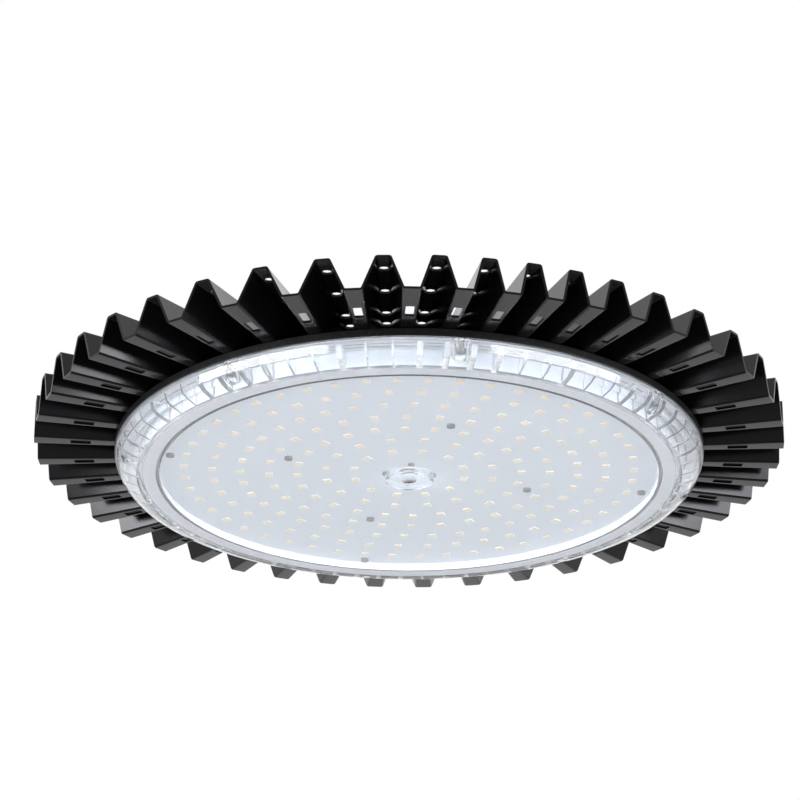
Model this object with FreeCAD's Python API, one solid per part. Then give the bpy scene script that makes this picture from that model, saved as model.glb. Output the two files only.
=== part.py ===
import FreeCAD, Part
import math
import os

# Round high bay lamp, hung from an eye bolt with its clear lens facing down.
# Units are millimetres, +Z is up, and Z = 0 is the lowest point, the middle of the lens.

Vector = FreeCAD.Vector
DOWN = Vector(0, 0, -1)
UP = Vector(0, 0, 1)

past = 1.0                      # how far a cutting tool runs past the face it opens
bite = 0.5                      # how far an added rib or boss reaches into what carries it

# ---- lens: one moulded tray, open at the top ----
lens_radius = 150.0
lens_depth = 11.0               # from the rim down to the outer face of the window
lens_wall = 2.2
lens_floor = 2.4
lens_lip_height = 1.8           # upright lip under the base plate
lens_lip_step = 0.6
lens_band_height = 6.1          # from the rim down to where the wall starts to lean
lens_band_inset = 2.0
lens_foot_height = 2.4          # from the window up to the foot of the leaning wall
lens_foot_inset = 4.6
window_inset = 11.2             # the flat window ends this far inside the rim
seal_inset = 12.2               # two low ring walls hold the gasket between them
seal_span = 10.6
seal_wall_width = 1.8
rib_count = 72
rib_first_angle = 2.0
rib_width = 1.0
wide_rib_width = 2.8            # every third rib, and the two beside each screw boss
wide_rib_every = 3
rib_drop = 1.6                  # the ribs and ring walls stop this far below the rim
boss_count = 8
boss_first_angle = 9.5
boss_inset = 5.0                # from the lens's outside to the middle of the boss
boss_radius = 4.4
centre_ring_radius = 12.5
centre_ring_wall = 1.8
centre_ring_gap = 0.6           # from the ring to the underside of the LEDs
centre_pillar_radius = 3.7
centre_pillar_gap = 0.1
centre_dimple_radius = 2.4
centre_dimple_depth = 0.8

# ---- gasket and screws of the lens ----
gasket_gap = 0.1
lens_screw_radius = 1.5
lens_screw_head_radius = 2.6
lens_screw_head_height = 1.8
lens_screw_recess = 7.0         # height of the recess's end above the window's face
plate_skin = 0.6                # metal left above a blind screw hole in the plate
screw_end_gap = 0.4             # from the end of a screw to the end of its hole
screw_clearance = 0.2

# ---- base plate: pressed disc that carries everything ----
plate_overhang = 0.3            # past the rim of the lens
plate_thickness = 4.0
pad_side_gap = 0.6              # from the thicker middle to the lens's inner ring wall
pad_drop = 2.5
wire_hole_radius = 5.5

# ---- pleated crown: one folded sheet ----
pleat_count = 44
crown_radius = 191.0
crown_inner_radius = 110.0
crown_height = 17.4
sheet = 1.2
low_width_outer = 8.9           # flats that lie on the base plate
low_width_inner = 4.6
crest_width_outer = 7.2         # flats along the ridges
crest_width_inner = 6.4
crown_phase = -19.74            # angle of the first low flat
inner_share = 0.5               # how much of the uneven gathering is left at the inner end
# uneven gathering of the folds round the ring: waves round the ring, degrees, phase
gathering = ((1, 1.58, -148.0), (2, 1.23, -171.0), (3, 0.90, 84.0), (4, 1.24, 68.0), (5, 0.57, 24.0))
slot_length = 10.2
slot_width = 4.1
slot_from_end = 23.5
crest_hole_radius = 2.3
crest_hole_sides = 8            # drawn with flats, because there are so many of them
crest_hole_from_end = 12.0
crest_hole_from_inner = 10.5
crest_hole_steps = (0.0, 1.0, 2.0, 2.5)    # places along the ridge, in even steps and a last half one

# ---- crown screws, in every second low flat ----
crown_screw_count = 22
crown_screw_radius = 1.4
crown_screw_head_radius = 1.8
crown_screw_head_height = 1.5
crown_screw_depth = 3.2         # shank under the head

# ---- light engine ----
thermal_pad_thickness = 0.4
board_side_gap = 1.0            # from the board to the lens's inner ring wall
board_thickness = 1.6
led_size = 3.0
led_height = 0.7
led_edge_gap = 11.3             # from the outermost ring of LEDs to the board's edge
led_rings = ((2, 12, 13.0), (3, 16, 10.0), (4, 24, 13.0), (5, 28, 12.0),
             (6, 36, 1.7), (7, 40, 3.4), (8, 48, 4.7))    # ring, how many, first angle
board_screw_circle = 64.3
board_screw_angle = 18.6
edge_screw_inset = 3.4
edge_screw_angle = 11.4
board_screw_count = 4
board_screw_radius = 1.25
board_screw_head_radius = 2.1
board_screw_head_height = 1.2
board_screw_depth = 3.4
centre_screw_circle = 12.0
centre_screw_angle = 5.0
centre_screw_radius = 1.0
centre_screw_head_radius = 1.7

# ---- driver housing: die-cast cup, open at the bottom ----
housing_radius = 60.0
housing_height = 39.0
housing_wall = 2.6
housing_corner = 5.0
housing_flange_width = 6.0
housing_flange_height = 4.0
housing_seal_height = 1.0
housing_seal_width = 3.0
housing_rib_count = 24
housing_rib_depth = 2.4
housing_rib_width = 2.2
housing_rib_top_gap = 8.0
housing_screw_count = 6
housing_screw_angle = 30.0
housing_screw_radius = 1.5
housing_screw_head_radius = 2.6
housing_screw_head_height = 2.0
housing_screw_depth = 2.6       # shank in the base plate

# ---- driver inside the housing ----
pillar_height = 5.0
pillar_radius = 3.0
pillar_inset = 6.0              # from the driver board's edge
pillar_count = 4
pillar_angle = 45.0
driver_board_gap = 5.4          # from the board to the housing's wall
driver_board_thickness = 1.6
transformer_core = (30.0, 15.6, 19.0)
transformer_bobbin = (18.0, 26.0, 15.2)
transformer_lift = 1.9          # from the board to the bobbin
transformer_at = (-20.0, -14.0)
choke_radius = 10.0
choke_bore_radius = 4.0
choke_height = 13.0
choke_at = (22.0, -24.0)
capacitor_radius = 7.0
capacitor_height = 24.0
capacitor_inset = 12.0          # from the board's edge to the outer capacitor's axis
capacitor_offset = 4.0          # of the outer capacitor from the board's middle line
capacitor_step = (16.0, 8.0)    # from the outer capacitor to the inner one
terminal_size = (16.0, 9.0, 11.0)
input_terminal_at = (-6.0, 30.0)
output_terminal_at = (0.0, 8.0)
lead_radius = 0.9
lead_spacing = 3.2

# ---- cable gland ----
gland_inset = 22.0              # from the housing's side to the middle of the gland
gland_thread_radius = 8.0
gland_thread_length = 6.4
gland_bore_radius = 4.0
gland_bore_relief = 0.8         # the body and nut stand this far back from the cable
gland_hex = 22.0                # across the flats
gland_hex_height = 5.0
gland_neck_radius = 8.4
gland_neck_height = 9.0
gland_nut_radius = 10.8
gland_nut_height = 13.0
gland_nut_gap = 0.2             # from the nut to the hexagon
gland_nut_round = 3.0
grip_count = 12
grip_radius = 1.1
grip_set_out = 0.5              # the grip grooves' middles stand outside the nut
grip_top_gap = 3.0
gland_seal_radius = 6.6

# ---- breather ----
breather_inset = 20.0           # from the housing's side
breather_angle = 143.0
breather_radius = 8.0
breather_height = 6.0
breather_bevel = 1.2
breather_thread_radius = 5.0
breather_thread_length = 5.6
vent_count = 6
vent_size = (4.0, 1.4, 2.0)
vent_inset = 1.0
vent_height = 1.0

# ---- hanging eye ----
eye_thread_radius = 4.0
eye_collar_radius = 9.0
eye_collar_edge = 1.5           # upright edge of the collar
eye_collar_height = 5.0
eye_ring_radius = 13.0          # to the middle of the bar
eye_bar_radius = 3.1
eye_sink = 0.6                  # how far the ring is sunk into the collar
washer_radius = 10.5
washer_thickness = 1.6
eye_nut_width = 13.0
eye_nut_height = 6.5
eye_thread_end = 2.0            # thread showing past the nut
fit_gap = 0.1                   # radial clearance of threads and shanks drawn plain

# ---- radii worked out from the sizes above ----
window_radius = lens_radius - window_inset
seal_outer_radius = lens_radius - seal_inset
seal_inner_radius = seal_outer_radius - seal_span
boss_circle_radius = lens_radius - boss_inset
plate_radius = lens_radius + plate_overhang
pad_radius = seal_inner_radius - pad_side_gap
board_radius = seal_inner_radius - board_side_gap
edge_screw_circle = board_radius - edge_screw_inset
led_ring_pitch = (board_radius - led_edge_gap) / led_rings[-1][0]
crown_screw_circle = (crown_inner_radius + plate_radius) / 2
crest_hole_reach = crown_radius - crown_inner_radius - crest_hole_from_end - crest_hole_from_inner
crest_hole_pitch = crest_hole_reach / crest_hole_steps[-1]
housing_flange_radius = housing_radius + housing_flange_width
housing_screw_circle = housing_radius + housing_flange_width / 2
driver_board_radius = housing_radius - housing_wall - driver_board_gap
pillar_circle = driver_board_radius - pillar_inset
capacitor_x = driver_board_radius - capacitor_inset
gland_at = (0.0, housing_radius - gland_inset)
breather_at = ((housing_radius - breather_inset) * math.cos(math.radians(breather_angle)),
               (housing_radius - breather_inset) * math.sin(math.radians(breather_angle)))
pleat_pitch = 360.0 / pleat_count

# ---- levels worked out from the sizes above ----
rim_z = lens_depth
band_z = rim_z - lens_band_height
seal_top_z = rim_z - rib_drop
plate_top_z = rim_z + plate_thickness
pad_z = rim_z - pad_drop
board_top_z = pad_z - thermal_pad_thickness
board_z = board_top_z - board_thickness
crest_z = plate_top_z + crown_height
housing_z = plate_top_z + housing_seal_height
housing_top_z = housing_z + housing_height
driver_board_z = plate_top_z + pillar_height
driver_top_z = driver_board_z + driver_board_thickness


def at(radius, degrees, z):
    """Point at a radius and an angle."""
    turn = math.radians(degrees)
    return Vector(radius * math.cos(turn), radius * math.sin(turn), z)


def disc(radius, z, height, x=0.0, y=0.0):
    return Part.makeCylinder(radius, height, Vector(x, y, z))


def bore(radius, bottom, top, x=0.0, y=0.0):
    """Cutting tool for a round hole, which runs past both levels."""
    return disc(radius, bottom - past, top - bottom + 2 * past, x, y)


def ring(inner, outer, z, height, x=0.0, y=0.0):
    return disc(outer, z, height, x, y).cut(bore(inner, z, z + height, x, y))


def box(size, middle, z):
    """Box standing at height z with its middle over a point."""
    corner = Vector(middle[0] - size[0] / 2, middle[1] - size[1] / 2, z)
    return Part.makeBox(size[0], size[1], size[2], corner)


def turned(shape, degrees):
    copy = shape.copy()
    copy.rotate(Vector(0, 0, 0), UP, degrees)
    return copy


def revolved(points):
    """Solid of revolution of a closed outline of (radius, z) points."""
    corners = [Vector(r, 0, z) for r, z in points]
    return Part.Face(Part.makePolygon(corners + corners[:1])).revolve(Vector(0, 0, 0), UP, 360)


def hexagon(across, z, height, x=0.0, y=0.0):
    corner = across / math.sqrt(3)
    points = [Vector(x, y, 0) + at(corner, 60 * i + 30, z) for i in range(7)]
    return Part.Face(Part.makePolygon(points)).extrude(Vector(0, 0, height))


def screw(point, head_radius, head_height, shank_radius, depth, direction):
    """Plain screw: the underside of its head is at the point, its shank runs along the direction."""
    shank = Part.makeCylinder(shank_radius, depth, point, direction)
    head = Part.makeCylinder(head_radius, head_height, point, direction * -1)
    return head.fuse(shank)


def group(shapes):
    return Part.makeCompound(shapes)


def screws(points, head_radius, head_height, shank_radius, depth, direction):
    return group([screw(point, head_radius, head_height, shank_radius, depth, direction) for point in points])


def save(name, shape):
    shape.exportStep(os.path.join("parts", name + ".step"))


# ---- pleated crown ----

class Flat:
    """One flat strip of the folded sheet, from the inner end of the crown to the outer end."""

    def __init__(self, place, inner_width, outer_width, z_bottom):
        nominal = pleat_pitch * place
        drift = 0.0
        for waves, degrees, phase in gathering:
            drift += degrees * math.cos(math.radians(waves * nominal - phase))
        self.inner = at(crown_inner_radius, crown_phase + nominal + drift * inner_share, 0)
        self.outer = at(crown_radius, crown_phase + nominal + drift, 0)
        self.along = (self.outer - self.inner).normalize()
        self.across = UP.cross(self.along)
        self.widths = {"inner": inner_width, "outer": outer_width}
        self.bottom = z_bottom
        self.shift = {}

    def corner(self, end, side, upper, wide_face):
        """Corner at an end and a side; the narrow face is set in by the fold's own shift."""
        half = self.widths[end] / 2
        if not wide_face:
            half += self.shift[(end, side)]
        origin = self.inner if end == "inner" else self.outer
        return origin + self.across * (half * side) + Vector(0, 0, self.bottom + (sheet if upper else 0))

    def on_strip(self, from_end, sideways, z):
        return self.outer - self.along * from_end + self.across * sideways + Vector(0, 0, z)

    def loop(self, upper, wide_face):
        ends = (("inner", -1), ("outer", -1), ("outer", 1), ("inner", 1))
        corners = [self.corner(end, side, upper, wide_face) for end, side in ends]
        return Part.makePolygon(corners + corners[:1])

    def cap(self, end, wide_is_upper):
        places = ((-1, False), (1, False), (1, True), (-1, True))
        corners = [self.corner(end, side, upper, upper == wide_is_upper) for side, upper in places]
        return Part.Face(Part.makePolygon(corners + corners[:1]))


def fold(low, crest, side):
    """Faces of the web between a low flat and the crest on one side of it."""
    ends = {}
    for end in ("inner", "outer"):
        a = low.corner(end, side, False, True)
        d = crest.corner(end, -side, True, True)
        run = math.hypot(d.x - a.x, d.y - a.y)
        lean = math.asin(sheet / math.hypot(run, crown_height)) + math.atan2(run, crown_height)
        shift = run - (crown_height - sheet) * math.tan(lean)
        low.shift[(end, side)] = shift
        crest.shift[(end, -side)] = shift
        ends[end] = (a, low.corner(end, side, True, False), d, crest.corner(end, -side, False, False))
    (a1, c1, d1, b1), (a2, c2, d2, b2) = ends["inner"], ends["outer"]
    faces = [Part.makeRuledSurface(Part.makeLine(a1, a2), Part.makeLine(b1, b2)),
             Part.makeRuledSurface(Part.makeLine(c1, c2), Part.makeLine(d1, d2))]
    for a, c, d, b in ends.values():
        faces.append(Part.Face(Part.makePolygon([a, c, d, a])))
        faces.append(Part.Face(Part.makePolygon([a, d, b, a])))
    return faces


def pierced(flat, wide_is_upper, cutouts):
    """Top, bottom and end faces of a flat, and the walls of the openings through it."""
    faces = [flat.cap("inner", wide_is_upper), flat.cap("outer", wide_is_upper)]
    for upper in (False, True):
        wires = [cutout(flat.bottom + (sheet if upper else 0)) for cutout in cutouts]
        loop = flat.loop(upper, upper == wide_is_upper)
        faces += Part.makeFace([loop] + wires, "Part::FaceMakerBullseye").Faces
    for cutout in cutouts:
        faces += cutout(flat.bottom).extrude(Vector(0, 0, sheet)).Faces
    return faces


def slot_outline(flat):
    def outline(z):
        sides = [(along * slot_length / 2, across * slot_width / 2)
                 for along, across in ((-1, -1), (1, -1), (1, 1), (-1, 1), (-1, -1))]
        return Part.makePolygon([flat.on_strip(slot_from_end + u, v, z) for u, v in sides])
    return outline


def hole_outline(flat, radius, sides, from_end):
    def outline(z):
        turns = [2 * math.pi * (i + 0.5) / sides for i in range(sides)]
        points = [flat.on_strip(from_end + radius * math.cos(t), radius * math.sin(t), z) for t in turns]
        return Part.makePolygon(points + points[:1])
    return outline


def low_flats():
    return [Flat(k, low_width_inner, low_width_outer, plate_top_z) for k in range(pleat_count)]


def pleated_crown():
    lows = low_flats()
    crests = [Flat(k + 0.5, crest_width_inner, crest_width_outer, crest_z - sheet) for k in range(pleat_count)]
    faces = []
    for k, low in enumerate(lows):
        faces += fold(low, crests[k], 1)
        faces += fold(low, crests[k - 1], -1)
    for k, (low, crest) in enumerate(zip(lows, crests)):
        openings = [slot_outline(low)]
        if k % (pleat_count // crown_screw_count) == 0:
            openings.append(hole_outline(low, crown_screw_radius + 2 * fit_gap, crest_hole_sides,
                                         crown_radius - crown_screw_circle))
        faces += pierced(low, False, openings)
        places = [crest_hole_from_end + step * crest_hole_pitch for step in crest_hole_steps]
        holes = [hole_outline(crest, crest_hole_radius, crest_hole_sides, place) for place in places]
        faces += pierced(crest, True, holes)
    shell = Part.makeShell(faces)
    shell.sewShape()
    solid = Part.makeSolid(shell)
    if solid.Volume < 0:
        solid.reverse()
    return solid


def crown_screw_points():
    lows = low_flats()[::pleat_count // crown_screw_count]
    from_end = crown_radius - crown_screw_circle
    return [low.on_strip(from_end, 0, plate_top_z) for low in lows]


# ---- base plate and what is screwed to it ----

def screw_circle(radius, count, first, z):
    return [at(radius, first + i * 360.0 / count, z) for i in range(count)]


def lens_screw_points():
    return screw_circle(boss_circle_radius, boss_count, boss_first_angle, lens_screw_recess)


def board_screw_points():
    return (screw_circle(board_screw_circle, board_screw_count, board_screw_angle, board_z)
            + screw_circle(edge_screw_circle, board_screw_count, edge_screw_angle, board_z))


def centre_screw_points():
    return screw_circle(centre_screw_circle, board_screw_count, centre_screw_angle, board_z)


def housing_screw_points():
    seat = housing_z + housing_flange_height
    return screw_circle(housing_screw_circle, housing_screw_count, housing_screw_angle, seat)


def hole(point, radius, depth, direction):
    """Cutting tool for a blind hole that starts at the point."""
    return Part.makeCylinder(radius + fit_gap, depth + past, point - direction * past, direction)


def base_plate():
    plate = disc(plate_radius, rim_z, plate_thickness).fuse(disc(pad_radius, pad_z, pad_drop + bite))
    holes = [bore(wire_hole_radius, pad_z, plate_top_z)]
    for point in lens_screw_points():
        holes.append(hole(Vector(point.x, point.y, rim_z), lens_screw_radius, plate_thickness - plate_skin, UP))
    board_hole_depth = board_screw_depth - board_thickness - thermal_pad_thickness + screw_end_gap
    for point in board_screw_points():
        holes.append(hole(Vector(point.x, point.y, pad_z), board_screw_radius, board_hole_depth, UP))
    for point in centre_screw_points():
        holes.append(hole(Vector(point.x, point.y, pad_z), centre_screw_radius, board_hole_depth, UP))
    for point in crown_screw_points():
        holes.append(hole(point, crown_screw_radius, crown_screw_depth - sheet, DOWN))
    for point in housing_screw_points():
        top = Vector(point.x, point.y, plate_top_z)
        holes.append(hole(top, housing_screw_radius, housing_screw_depth + screw_end_gap, DOWN))
    return plate.cut(holes).removeSplitter()


def with_board_holes(shape, bottom, top):
    """The board and the pad under it have the same wire hole and screw holes."""
    holes = [bore(wire_hole_radius, bottom, top)]
    holes += [bore(board_screw_radius + fit_gap, bottom, top, p.x, p.y) for p in board_screw_points()]
    holes += [bore(centre_screw_radius + fit_gap, bottom, top, p.x, p.y) for p in centre_screw_points()]
    return shape.cut(holes)


def led_board():
    return with_board_holes(disc(board_radius, board_z, board_thickness), board_z, board_top_z)


def thermal_pad():
    return with_board_holes(disc(board_radius, board_top_z, thermal_pad_thickness), board_top_z, pad_z)


def led_ring(number, count, first):
    chip = box((led_size, led_size, led_height), (number * led_ring_pitch, 0), board_z - led_height)
    return group([turned(chip, first + i * 360.0 / count) for i in range(count)])


# ---- lens ----

def lens_side():
    """Outside of the lens from the middle of the window out to the rim, as (radius, z) points."""
    lip_z = rim_z - lens_lip_height
    return [(0, 0), (window_radius, 0), (lens_radius - lens_foot_inset, lens_foot_height),
            (lens_radius - lens_band_inset, band_z), (lens_radius - lens_lip_step, lip_z),
            (lens_radius, lip_z), (lens_radius, rim_z)]


def lens_tray():
    """Floor and wall of the lens, with the two ring walls round the gasket."""
    foot_radius = lens_radius - lens_foot_inset - lens_wall
    band_radius = lens_radius - lens_band_inset - lens_wall
    inside = [(lens_radius - lens_wall, rim_z), (band_radius, band_z + lens_wall / 2),
              (foot_radius, lens_foot_height + lens_wall)]
    for outer in (seal_outer_radius, seal_inner_radius + seal_wall_width):
        inner = outer - seal_wall_width
        inside += [(outer, lens_floor), (outer, seal_top_z), (inner, seal_top_z), (inner, lens_floor)]
    return revolved(lens_side() + inside + [(0, lens_floor)])


def lens_rib(width):
    """Radial rib from the outer ring wall to the side of the lens."""
    inner = seal_outer_radius - bite
    outline = [(inner, lens_floor - bite), (lens_radius - lens_foot_inset - bite, lens_foot_height + bite),
               (lens_radius - lens_band_inset - bite, band_z + bite),
               (lens_radius - lens_lip_step - bite, seal_top_z), (inner, seal_top_z)]
    corners = [Vector(r, -width / 2, z) for r, z in outline]
    return Part.Face(Part.makePolygon(corners + corners[:1])).extrude(Vector(0, width, 0))


def lens_ribs():
    thin = lens_rib(rib_width)
    wide = lens_rib(wide_rib_width)
    pitch = 360.0 / rib_count
    ribs = []
    for i in range(rib_count):
        angle = rib_first_angle + i * pitch
        from_boss = (angle - boss_first_angle) % (360.0 / boss_count)
        beside_boss = min(from_boss, 360.0 / boss_count - from_boss) < pitch
        ribs.append(turned(wide if beside_boss or i % wide_rib_every == 0 else thin, angle))
    return ribs


def lens_cover():
    blank = revolved(lens_side() + [(0, rim_z)])
    added = lens_ribs()
    cuts = []
    for point in lens_screw_points():
        added.append(disc(boss_radius, lens_floor - bite, rim_z - lens_floor + bite, point.x, point.y))
        cuts.append(bore(lens_screw_radius + screw_clearance, 0, rim_z, point.x, point.y))
        cuts.append(disc(lens_screw_head_radius + screw_clearance, -past, lens_screw_recess + past,
                         point.x, point.y))
    ring_top = board_z - led_height - centre_ring_gap
    pillar_top = board_z - centre_pillar_gap
    foot_z = lens_floor - bite
    added.append(ring(centre_ring_radius - centre_ring_wall, centre_ring_radius, foot_z, ring_top - foot_z))
    added.append(disc(centre_pillar_radius, foot_z, pillar_top - foot_z))
    cuts.append(disc(centre_dimple_radius, -past, centre_dimple_depth + past))
    return lens_tray().fuse(added).common(blank).cut(cuts).removeSplitter()


def lens_gasket():
    inner = seal_inner_radius + seal_wall_width + gasket_gap
    outer = seal_outer_radius - seal_wall_width - gasket_gap
    return ring(inner, outer, lens_floor, rim_z - lens_floor)


# ---- driver housing and its inside ----

def driver_housing():
    outer = disc(housing_radius, housing_z, housing_height)
    top_edge = [e for e in outer.Edges if len(e.Vertexes) == 1 and e.BoundBox.ZMin > housing_z + past]
    outer = outer.makeFillet(housing_corner, top_edge)
    flange_top = housing_z + housing_flange_height
    flange = disc(housing_flange_radius, housing_z, housing_flange_height)
    rib_height = housing_height - housing_flange_height - housing_rib_top_gap
    fin = Part.makeBox(housing_rib_depth + bite, housing_rib_width, rib_height + bite,
                       Vector(housing_radius - bite, -housing_rib_width / 2, flange_top - bite))
    fins = [turned(fin, (i + 0.5) * 360.0 / housing_rib_count) for i in range(housing_rib_count)]
    roof_z = housing_top_z - housing_wall
    hollow = disc(housing_radius - housing_wall, housing_z - past, roof_z - housing_z + past)
    holes = [bore(housing_screw_radius + fit_gap, housing_z, flange_top, point.x, point.y)
             for point in housing_screw_points()]
    holes.append(bore(gland_thread_radius + fit_gap, roof_z, housing_top_z, *gland_at))
    holes.append(bore(breather_thread_radius + fit_gap, roof_z, housing_top_z, *breather_at))
    holes.append(bore(eye_thread_radius + fit_gap, roof_z, housing_top_z))
    return outer.fuse([flange] + fins).cut([hollow] + holes).removeSplitter()


def housing_gasket():
    return ring(housing_radius - housing_seal_width, housing_radius, plate_top_z, housing_seal_height)


def driver_pillars():
    foot = disc(pillar_radius, plate_top_z, pillar_height, pillar_circle, 0)
    return group([turned(foot, pillar_angle + i * 360.0 / pillar_count) for i in range(pillar_count)])


def driver_board():
    board = disc(driver_board_radius, driver_board_z, driver_board_thickness)
    return board.cut(bore(lead_spacing, driver_board_z, driver_top_z))


def transformer():
    core = box(transformer_core, transformer_at, driver_top_z)
    bobbin = box(transformer_bobbin, transformer_at, driver_top_z + transformer_lift)
    return core.fuse(bobbin).removeSplitter()


def choke():
    return ring(choke_bore_radius, choke_radius, driver_top_z, choke_height, *choke_at)


def capacitors():
    over, along = capacitor_step
    outer = disc(capacitor_radius, driver_top_z, capacitor_height, capacitor_x, capacitor_offset)
    inner = disc(capacitor_radius, driver_top_z, capacitor_height, capacitor_x - over, capacitor_offset + along)
    return group([inner, outer])


def output_leads():
    top = driver_board_z
    bottom = board_z + board_thickness / 2
    return group([disc(lead_radius, bottom, top - bottom, side * lead_spacing / 2, 0) for side in (-1, 1)])


# ---- top fittings ----

def gland_body():
    x, y = gland_at
    neck_z = housing_top_z + gland_hex_height
    neck_top = neck_z + gland_neck_height
    thread_z = housing_top_z - gland_thread_length
    thread = disc(gland_thread_radius, thread_z, gland_thread_length, x, y)
    body = hexagon(gland_hex, housing_top_z, gland_hex_height, x, y)
    neck = disc(gland_neck_radius, neck_z, gland_neck_height, x, y)
    cable_way = bore(gland_bore_radius + gland_bore_relief, thread_z, neck_top, x, y)
    seat = disc(gland_seal_radius + fit_gap, neck_z, gland_neck_height + past, x, y)
    return thread.fuse([body, neck]).cut([cable_way, seat]).removeSplitter()


def gland_seal():
    z = housing_top_z + gland_hex_height
    return ring(gland_bore_radius, gland_seal_radius, z, gland_neck_height, *gland_at)


def gland_nut():
    x, y = gland_at
    z = housing_top_z + gland_hex_height + gland_nut_gap
    top = z + gland_nut_height
    dome = disc(gland_nut_radius, z, gland_nut_height, x, y)
    rim = [e for e in dome.Edges if len(e.Vertexes) == 1 and e.BoundBox.ZMin > z + past]
    dome = dome.makeFillet(gland_nut_round, rim)
    inside = disc(gland_neck_radius + fit_gap, z - past, gland_neck_height + past, x, y)
    mouth = bore(gland_bore_radius + gland_bore_relief, z, top, x, y)
    grips = []
    for i in range(grip_count):
        groove = at(gland_nut_radius + grip_set_out, i * 360.0 / grip_count, 0) + Vector(x, y, 0)
        grips.append(disc(grip_radius, z - past, gland_nut_height - grip_top_gap + past, groove.x, groove.y))
    return dome.cut([inside, mouth] + grips)


def breather_valve():
    x, y = breather_at
    cap = revolved([(0, 0), (breather_radius, 0), (breather_radius, breather_height - breather_bevel),
                    (breather_radius - breather_bevel, breather_height), (0, breather_height)])
    cap.translate(Vector(x, y, housing_top_z))
    thread = disc(breather_thread_radius, housing_top_z - breather_thread_length, breather_thread_length, x, y)
    vents = []
    for i in range(vent_count):
        vent = turned(box(vent_size, (breather_radius - vent_inset, 0), housing_top_z + vent_height),
                      i * 360.0 / vent_count)
        vent.translate(Vector(x, y, 0))
        vents.append(vent)
    return cap.fuse(thread).cut(vents).removeSplitter()


def eye_washer():
    return ring(eye_thread_radius + fit_gap, washer_radius, housing_top_z, washer_thickness)


def eye_bolt():
    seat = housing_top_z + washer_thickness
    collar_top = seat + eye_collar_height
    collar = revolved([(0, seat), (eye_collar_radius, seat), (eye_collar_radius, seat + eye_collar_edge),
                       (eye_bar_radius + eye_collar_edge, collar_top), (0, collar_top)])
    length = washer_thickness + housing_wall + eye_nut_height + eye_thread_end
    shank = disc(eye_thread_radius, seat - length, length)
    centre = Vector(0, 0, collar_top + eye_ring_radius - eye_sink)
    eye = Part.makeTorus(eye_ring_radius, eye_bar_radius, centre, Vector(1, 0, 0))
    return collar.fuse([shank, eye]).removeSplitter()


def eye_nut():
    top = housing_top_z - housing_wall
    bottom = top - eye_nut_height
    return hexagon(eye_nut_width, bottom, eye_nut_height).cut(bore(eye_thread_radius + fit_gap, bottom, top))


def build():
    os.makedirs("parts", exist_ok=True)
    save("pleated_heat_sink", pleated_crown())
    save("base_plate", base_plate())
    on_sheet = [point + UP * sheet for point in crown_screw_points()]
    save("crown_screws", screws(on_sheet, crown_screw_head_radius, crown_screw_head_height,
                                crown_screw_radius, crown_screw_depth, DOWN))
    save("thermal_pad", thermal_pad())
    save("led_board", led_board())
    for number, count, first in led_rings:
        save("led_ring_%d" % (number - 1), led_ring(number, count, first))
    save("board_screws", screws(board_screw_points(), board_screw_head_radius, board_screw_head_height,
                                board_screw_radius, board_screw_depth, UP))
    save("centre_screws", screws(centre_screw_points(), centre_screw_head_radius, board_screw_head_height,
                                 centre_screw_radius, board_screw_depth, UP))
    save("lens_cover", lens_cover())
    save("lens_gasket", lens_gasket())
    lens_screw_depth = plate_top_z - plate_skin - screw_end_gap - lens_screw_recess
    save("lens_screws", screws(lens_screw_points(), lens_screw_head_radius, lens_screw_head_height,
                               lens_screw_radius, lens_screw_depth, UP))
    save("driver_housing", driver_housing())
    save("housing_gasket", housing_gasket())
    housing_screw_length = housing_flange_height + housing_seal_height + housing_screw_depth
    save("housing_screws", screws(housing_screw_points(), housing_screw_head_radius, housing_screw_head_height,
                                  housing_screw_radius, housing_screw_length, DOWN))
    save("driver_pillars", driver_pillars())
    save("driver_board", driver_board())
    save("driver_transformer", transformer())
    save("driver_choke", choke())
    save("driver_capacitors", capacitors())
    save("input_terminal", box(terminal_size, input_terminal_at, driver_top_z))
    save("output_terminal", box(terminal_size, output_terminal_at, driver_top_z))
    save("output_leads", output_leads())
    save("gland_body", gland_body())
    save("gland_seal", gland_seal())
    save("gland_nut", gland_nut())
    save("breather_valve", breather_valve())
    save("eye_washer", eye_washer())
    save("eye_bolt", eye_bolt())
    save("eye_nut", eye_nut())


build()
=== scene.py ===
import math
import bmesh
import bpy
from mathutils import Matrix, Vector


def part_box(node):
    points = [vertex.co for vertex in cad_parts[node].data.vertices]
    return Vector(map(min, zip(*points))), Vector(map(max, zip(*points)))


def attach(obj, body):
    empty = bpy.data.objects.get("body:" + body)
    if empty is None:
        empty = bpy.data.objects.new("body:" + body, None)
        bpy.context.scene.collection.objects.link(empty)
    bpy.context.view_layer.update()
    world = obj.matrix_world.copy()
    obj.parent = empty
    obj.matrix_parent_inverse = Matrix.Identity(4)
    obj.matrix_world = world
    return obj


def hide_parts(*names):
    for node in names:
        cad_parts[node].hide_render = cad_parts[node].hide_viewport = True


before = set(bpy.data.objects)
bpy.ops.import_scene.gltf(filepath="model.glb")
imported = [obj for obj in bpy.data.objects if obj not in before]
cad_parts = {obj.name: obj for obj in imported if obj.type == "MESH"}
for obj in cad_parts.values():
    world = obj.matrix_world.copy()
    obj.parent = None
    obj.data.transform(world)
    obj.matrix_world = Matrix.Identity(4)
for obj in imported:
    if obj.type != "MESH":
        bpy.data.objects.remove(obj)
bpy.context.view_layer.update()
scene = bpy.context.scene
mm = 0.001
up = Vector((0, 0, 1))
print("frame loaded")


# modelling helpers

def only(piece):
    bpy.ops.object.select_all(action="DESELECT")
    piece.select_set(True)
    bpy.context.view_layer.objects.active = piece


def openEdit(piece):
    only(piece)
    bpy.ops.object.mode_set(mode="EDIT")


def closeEdit():
    bpy.ops.object.mode_set(mode="OBJECT")


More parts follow.
